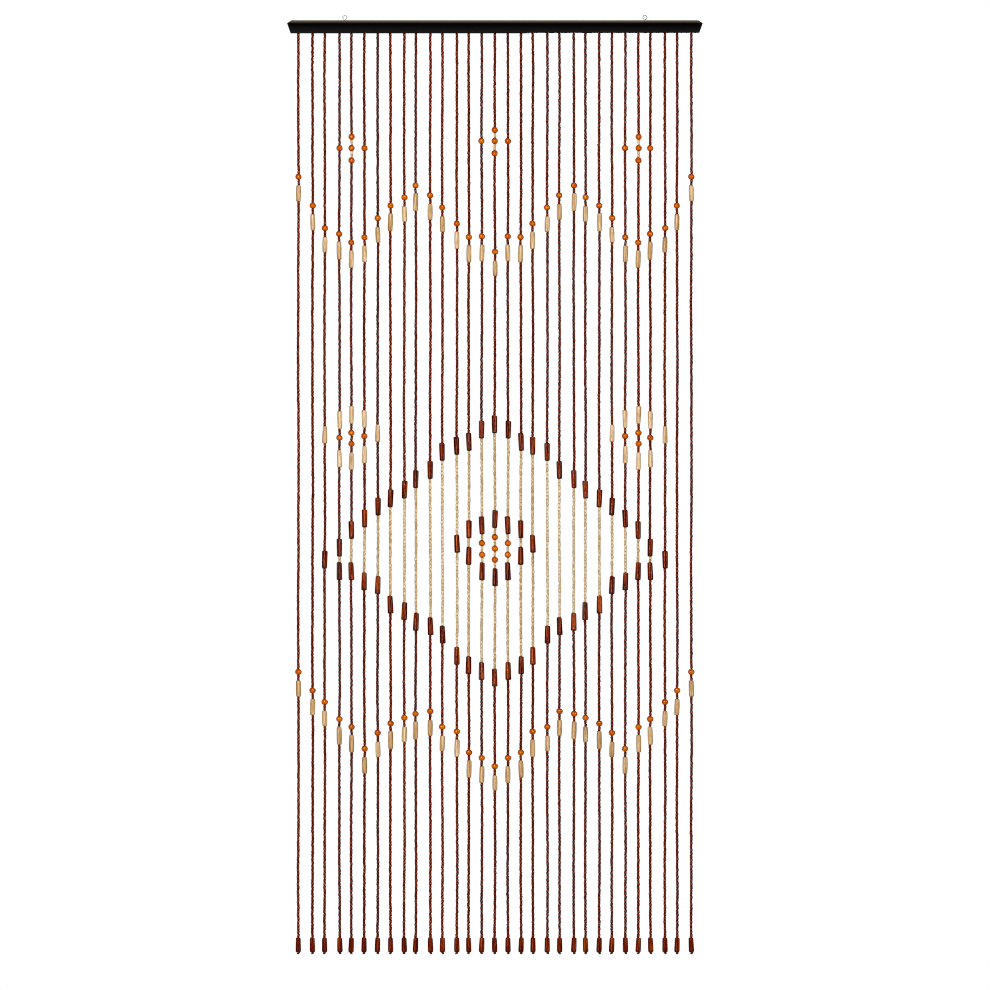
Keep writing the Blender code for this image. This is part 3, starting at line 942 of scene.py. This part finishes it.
# Painted reflection: the black turns dark grey towards the lower edge.
lower_reflection = add_node(tree, "ShaderNodeMapRange", {"interpolation_type": "SMOOTHSTEP"}, {
    "Value": height.outputs["Z"], "From Min": REFLECTION_START * MM, "From Max": REFLECTION_END * MM})
spots = add_node(tree, "ShaderNodeMath", {"operation": "MULTIPLY_ADD"}, {
    0: ridges.outputs["Fac"], 1: 0.06, 2: lower_reflection.outputs["Result"]})
black = add_node(tree, "ShaderNodeMix", {"data_type": "RGBA"}, {
    "Factor": spots.outputs["Value"], 6: linear("#000000"), 7: linear("#181616")})
# Painted light from above on the sloped edge, olive in some stretches and redder in others.
top_light_patches = add_node(tree, "ShaderNodeTexNoise", None, {
    "Vector": place.outputs["Object"], "Scale": 1 / (PATCH_LENGTH * MM), "Detail": 1.0})
top_light_colour = add_node(tree, "ShaderNodeMix", {"data_type": "RGBA"}, {
    "Factor": top_light_patches.outputs["Fac"], 6: linear("#504A2C"), 7: linear("#5E4434")})
# The painted light is mixed in over the sloped edge only.
top_light = add_node(tree, "ShaderNodeMapRange", {"interpolation_type": "SMOOTHSTEP"}, {
    "Value": height.outputs["Z"], "From Min": TOP_LIGHT_START * MM, "From Max": TOP_LIGHT_END * MM})
colour = add_node(tree, "ShaderNodeMix", {"data_type": "RGBA"}, {
    "Factor": top_light.outputs["Result"], 6: black.outputs[2], 7: top_light_colour.outputs[2]})
rough = add_node(tree, "ShaderNodeMapRange", None, {
    "Value": ridges.outputs["Fac"], "To Min": 0.06, "To Max": 0.12})
bump = add_node(tree, "ShaderNodeBump", None, {
    "Height": ridges.outputs["Fac"], "Strength": 0.1, "Distance": RELIEF_DEPTH})
finish = add_node(tree, "ShaderNodeBsdfPrincipled", None, {
    "Base Color": colour.outputs[2], "Roughness": rough.outputs["Result"],
    "Normal": bump.outputs["Normal"], "IOR": LACQUER_IOR, "Specular IOR Level": 0.1})
add_node(tree, "ShaderNodeOutputMaterial", None, {"Surface": finish.outputs["BSDF"]})


# %% Length of the rail at a height
def half_length(height):
    """Half length of the rail: straight from the foot out to a short nose, then in to the top."""
    nose = RAIL_HALF_LENGTH + LACQUER_BUILD
    return np.interp(height, [RAIL_UNDERSIDE, WIDEST - NOSE, WIDEST, RAIL_TOP],
                     [RAIL_HALF_LENGTH - FOOT_INSET, nose, nose, RAIL_HALF_LENGTH - TOP_INSET])


# %% Section of the rail
# Seen from the right-hand end, from the middle of the underside round to the same place.
crest = RAIL_HALF_DEPTH - SLOPE_REACH
section = rounded_outline(
    [(RAIL_HALF_DEPTH, RAIL_UNDERSIDE), (RAIL_HALF_DEPTH, WIDEST), (crest, RAIL_TOP),
     (-crest, RAIL_TOP), (-RAIL_HALF_DEPTH, WIDEST), (-RAIL_HALF_DEPTH, RAIL_UNDERSIDE)],
    EDGE_RADIUS, EDGE_STEPS, LEAD)
lips = np.array([[-GROOVE_HALF_WIDTH, RAIL_UNDERSIDE], [GROOVE_HALF_WIDTH, RAIL_UNDERSIDE]])
section = np.concatenate([section, lips])
direction = np.roll(section, -1, axis=0) - np.roll(section, 1, axis=0)
outward = np.stack([direction[:, 1], -direction[:, 0]], axis=1)
outward /= np.linalg.norm(outward, axis=1, keepdims=True)

# %% Carry the section along the rail
# Each station is a ring of points. At an end the ring draws in as it moves out, a quarter turn
# of the end's rounding: in by r * (1 - cos(a)), out by r * sin(a).
# One more station, a lead before the rounding, keeps the long faces flat when shaded smooth.
angles = np.radians([0.0, 30.0, 60.0, 90.0])
reach_out = np.append(-END_RADIUS - LEAD, END_RADIUS * (np.sin(angles) - 1.0))
draw_in = np.append(0.0, END_RADIUS * (1 - np.cos(angles)))
stations = []
for move, inset in zip(reach_out[::-1], draw_in[::-1]):
    ring = section - outward * inset
    stations.append(np.column_stack([-half_length(ring[:, 1]) - move, ring]))
GROOVE_STATIONS = (-GROOVE_HALF_LENGTH, -150.0, 150.0, GROOVE_HALF_LENGTH)
for across in GROOVE_STATIONS:
    stations.append(np.column_stack([np.full(len(section), across), section]))
for move, inset in zip(reach_out, draw_in):
    ring = section - outward * inset
    stations.append(np.column_stack([half_length(ring[:, 1]) + move, ring]))
stations = np.array(stations)
rows, columns = stations.shape[:2]
print("rail stations:", rows, "points in each:", columns)

# %% Long faces of the rail
# The face between the lips is left out from one end of the groove to the other.
station, column = np.meshgrid(np.arange(rows - 1), np.arange(columns), indexing="ij")
station, column = station.ravel()[:, None], column.ravel()[:, None]
ahead = np.array([[0, 0, 1, 1]])
beside = np.array([[0, 1, 1, 0]])
skin = (station + ahead) * columns + (column + beside) % columns
skin_uv = np.stack([(station + ahead) / rows, 0.5 * (column + beside) / columns], axis=-1)
groove_rows = len(reach_out) + np.arange(len(GROOVE_STATIONS))
open_here = np.isin(station[:, 0], groove_rows[:-1]) & (column[:, 0] == columns - 2)
skin, skin_uv = skin[~open_here], skin_uv[~open_here]

# %% End faces of the rail
# Each end is strips from the front edge across to the back edge, down to a last face that
# takes in both lips of the groove.
half = columns // 2 - 1
front_side = np.arange(half, columns - 3)
back_side = np.arange(half - 1, 0, -1)
low_cap = np.stack([front_side[:-1], back_side[:-1], back_side[1:], front_side[1:]], axis=1)
low_foot = np.array([[columns - 4, 1, 0, columns - 1, columns - 2, columns - 3]])
far_end = (rows - 1) * columns
caps = np.concatenate([low_cap, far_end + low_cap[:, ::-1]])
feet_of_caps = np.concatenate([low_foot, far_end + low_foot[:, ::-1]])

# %% Groove under the rail
# The lips' points again, raised to the roof of the groove, with walls between.
lip_front = groove_rows * columns + columns - 2
lip_back = groove_rows * columns + columns - 1
raised = np.concatenate([stations.reshape(-1, 3)[lip_front], stations.reshape(-1, 3)[lip_back]])
raised[:, 2] += GROOVE_DEPTH
roof_front = rows * columns + np.arange(len(groove_rows))
roof_back = roof_front + len(groove_rows)
groove = np.concatenate([
    np.stack([lip_front[:-1], lip_front[1:], roof_front[1:], roof_front[:-1]], axis=1),
    np.stack([roof_front[:-1], roof_front[1:], roof_back[1:], roof_back[:-1]], axis=1),
    np.stack([roof_back[:-1], roof_back[1:], lip_back[1:], lip_back[:-1]], axis=1),
    [[lip_front[0], roof_front[0], roof_back[0], lip_back[0]]],
    [[lip_front[-1], lip_back[-1], roof_back[-1], roof_front[-1]]]])[:, ::-1]

# %% Build the rail
rail_points = np.concatenate([stations.reshape(-1, 3), raised])
plain = np.concatenate([caps, groove])
FLAT_MAP_LOW = 0.55
FLAT_MAP_SIZE = 0.4


def side_view_uv(faces):
    """UV of the flat faces: their place across and up, above the skin's half of the map."""
    spread = rail_points[faces][..., [0, 2]]
    low, high = rail_points.min(axis=0)[[0, 2]], rail_points.max(axis=0)[[0, 2]]
    share = (spread - low) / (high - low)
    return (np.array([0.0, FLAT_MAP_LOW]) + share * FLAT_MAP_SIZE).reshape(-1, 2)


rail_piece = new_piece(
    "rail_bar", rail_points, [skin, plain, feet_of_caps],
    [skin_uv.reshape(-1, 2), side_view_uv(plain), side_view_uv(feet_of_caps)],
    black_lacquer, flat=range(len(skin), len(skin) + len(plain) + 2))
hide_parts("rail")

# %% [markdown]
# ## The strip in the groove
#
# A thin wooden batten with the threads stapled under it, pushed up into the groove. Only its
# underside shows, from below, so it is a plain bar with rounded edges.

# %% Batten
# Its ends are bevelled: the last ring of points is drawn in to a share of the full section.
STRIP_HALF_LENGTH = 434.0
STRIP_HALF_DEPTH = 4.0
STRIP_LOW = RAIL_UNDERSIDE + 0.3
STRIP_HIGH = STRIP_LOW + 4.0
STRIP_EDGE_RADIUS = 0.5
STRIP_EDGE_STEPS = 2
STRIP_LEAD = 0.3
BEVEL_SHARE = 0.85
bar = rounded_outline(
    [(STRIP_HALF_DEPTH, STRIP_LOW), (STRIP_HALF_DEPTH, STRIP_HIGH),
     (-STRIP_HALF_DEPTH, STRIP_HIGH), (-STRIP_HALF_DEPTH, STRIP_LOW)],
    STRIP_EDGE_RADIUS, STRIP_EDGE_STEPS, STRIP_LEAD)
centre = bar.mean(axis=0)
shrink = np.array([BEVEL_SHARE, 1.0, 1.0, BEVEL_SHARE])
places_x = STRIP_HALF_LENGTH * np.array([1.0, 0.999, -0.999, -1.0])
rings = np.stack([
    np.column_stack([np.full(len(bar), x), centre + (bar - centre) * s])
    for x, s in zip(places_x, shrink)])
tips = np.array([[STRIP_HALF_LENGTH, *centre], [-STRIP_HALF_LENGTH, *centre]])
faces, corner_places = skin_faces(1, len(rings), len(bar))
strip_uv = square_uv(corner_places, 1, np.array([0.1, 0.15, 0.85, 0.9]), len(bar))
strip_piece = new_piece("thread_strip", np.concatenate([rings.reshape(-1, 3), tips]), faces,
                        strip_uv, black_lacquer)

# %% Hide the plain strands that the dressed strings take the place of
for piece in (*brown_pieces, cream_piece, ball_piece, garland_piece, flower_piece,
              diamond_piece, end_piece, thread_piece, knot_piece, strip_piece):
    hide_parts("strings")

# %% [markdown]
# ## Studio
#
# The curtain is shown straight from the front against white. The camera stands far back with a
# long lens, so the strings stay parallel. The background is the sky's own white, which only the
# camera sees. The beads are lit by lamps and by very little sky, or their rims would turn pale.
# The pale floor lies a hand's width under the curtain, just below what the camera sees.

# %% Camera
# The curtain's middle sits a fraction of a pixel left of the picture's, so the camera stands
# that much to its right. A small bead is only three pixels wide, and a pixel filter narrower
# than usual keeps it as crisp as in a shop's picture.
CAMERA_DISTANCE = 28.0
FRAME_WIDTH = 2.1496
CAMERA_HEIGHT = -1.0369
CAMERA_ASIDE = 0.0003
SENSOR = 36.0
camera_data = bpy.data.cameras.new("camera")
camera_data.sensor_width = SENSOR
camera_data.lens = SENSOR * CAMERA_DISTANCE / FRAME_WIDTH
camera_data.clip_end = 120.0
camera = bpy.data.objects.new("camera", camera_data)
camera.location = (CAMERA_ASIDE, -CAMERA_DISTANCE, CAMERA_HEIGHT)
camera.rotation_euler = (np.pi / 2, 0.0, 0.0)
bpy.context.scene.collection.objects.link(camera)
bpy.context.scene.camera = camera
bpy.context.scene.view_settings.view_transform = "Standard"
bpy.context.scene.cycles.filter_width = 1.0
print("lens:", round(camera_data.lens, 1), "mm")

# %% Sky
world = bpy.data.worlds.new("studio")
bpy.context.scene.world = world
world.use_nodes = True
sky = world.node_tree
sky.nodes.clear()
seen = add_node(sky, "ShaderNodeLightPath")
shown = add_node(sky, "ShaderNodeBackground", None, {"Color": linear("#FFFFFF")})
lighting = add_node(sky, "ShaderNodeBackground", None, {
    "Color": linear("#FFFFFF"), "Strength": 0.03})
either = add_node(sky, "ShaderNodeMixShader", None, {
    0: seen.outputs["Is Camera Ray"],
    1: lighting.outputs["Background"],
    2: shown.outputs["Background"]})
add_node(sky, "ShaderNodeOutputWorld", None, {"Surface": either.outputs["Shader"]})

# %% Lights
# Each lamp is a name, a place, a width, a height and a power. A tall narrow lamp a little to the
# left draws the thin bright streak down each bead, and one far out on each side draws the paler
# lines near a bead's edges. The one on the right is stronger, to make up for the streak's. The
# key light over the camera lights the tops, one hangs over the rail, and one stands behind for
# views from the back.
MIDDLE_HEIGHT = -1.0
LAMPS = (
    ("key_light", (0.0, -8.0, 2.8), 2.5, 2.5, 160.0),
    ("streak_light", (-1.1, -4.4, -0.1), 0.3, 4.0, 115.0),
    ("left_light", (-3.9, -3.3, -0.1), 0.4, 4.0, 36.0),
    ("right_light", (3.9, -3.3, -0.1), 0.4, 4.0, 66.0),
    ("rail_light", (0.0, -1.0, 3.0), 2.0, 2.0, 20.0),
    ("back_light", (1.5, 6.5, 0.8), 3.0, 3.0, 200.0),
)
for name, place, width, height, power in LAMPS:
    lamp = bpy.data.lights.new(name, "AREA")
    lamp.shape = "RECTANGLE"
    lamp.size = width
    lamp.size_y = height
    lamp.energy = power
    stand = bpy.data.objects.new(name, lamp)
    stand.location = place
    aim = Vector((0.0, 0.0, place[2] if height > width else MIDDLE_HEIGHT))
    stand.rotation_euler = (stand.location - aim).to_track_quat("Z", "Y").to_euler()
    stand.visible_camera = False
    bpy.context.scene.collection.objects.link(stand)

# %% Floor
FLOOR_HEIGHT = -2180.0
FLOOR_HALF_WIDTH = 3500.0
FLOOR_FRONT = -4500.0
FLOOR_BACK = 1650.0
floor_corners = MM * np.array([
    [side * FLOOR_HALF_WIDTH, depth, FLOOR_HEIGHT]
    for side, depth in ((-1, FLOOR_FRONT), (1, FLOOR_FRONT), (1, FLOOR_BACK), (-1, FLOOR_BACK))])
floor_mesh = bpy.data.meshes.new("floor")
floor_mesh.from_pydata(floor_corners.tolist(), [], [(0, 1, 2, 3)])
floor = bpy.data.objects.new("floor", floor_mesh)
bpy.context.scene.collection.objects.link(floor)
pale_floor, tree = empty_material("matt_pale_floor")
finish = add_node(tree, "ShaderNodeBsdfPrincipled", None, {
    "Base Color": linear("#EDEBE8"), "Roughness": 0.9})
add_node(tree, "ShaderNodeOutputMaterial", None, {"Surface": finish.outputs["BSDF"]})
floor_mesh.materials.append(pale_floor)
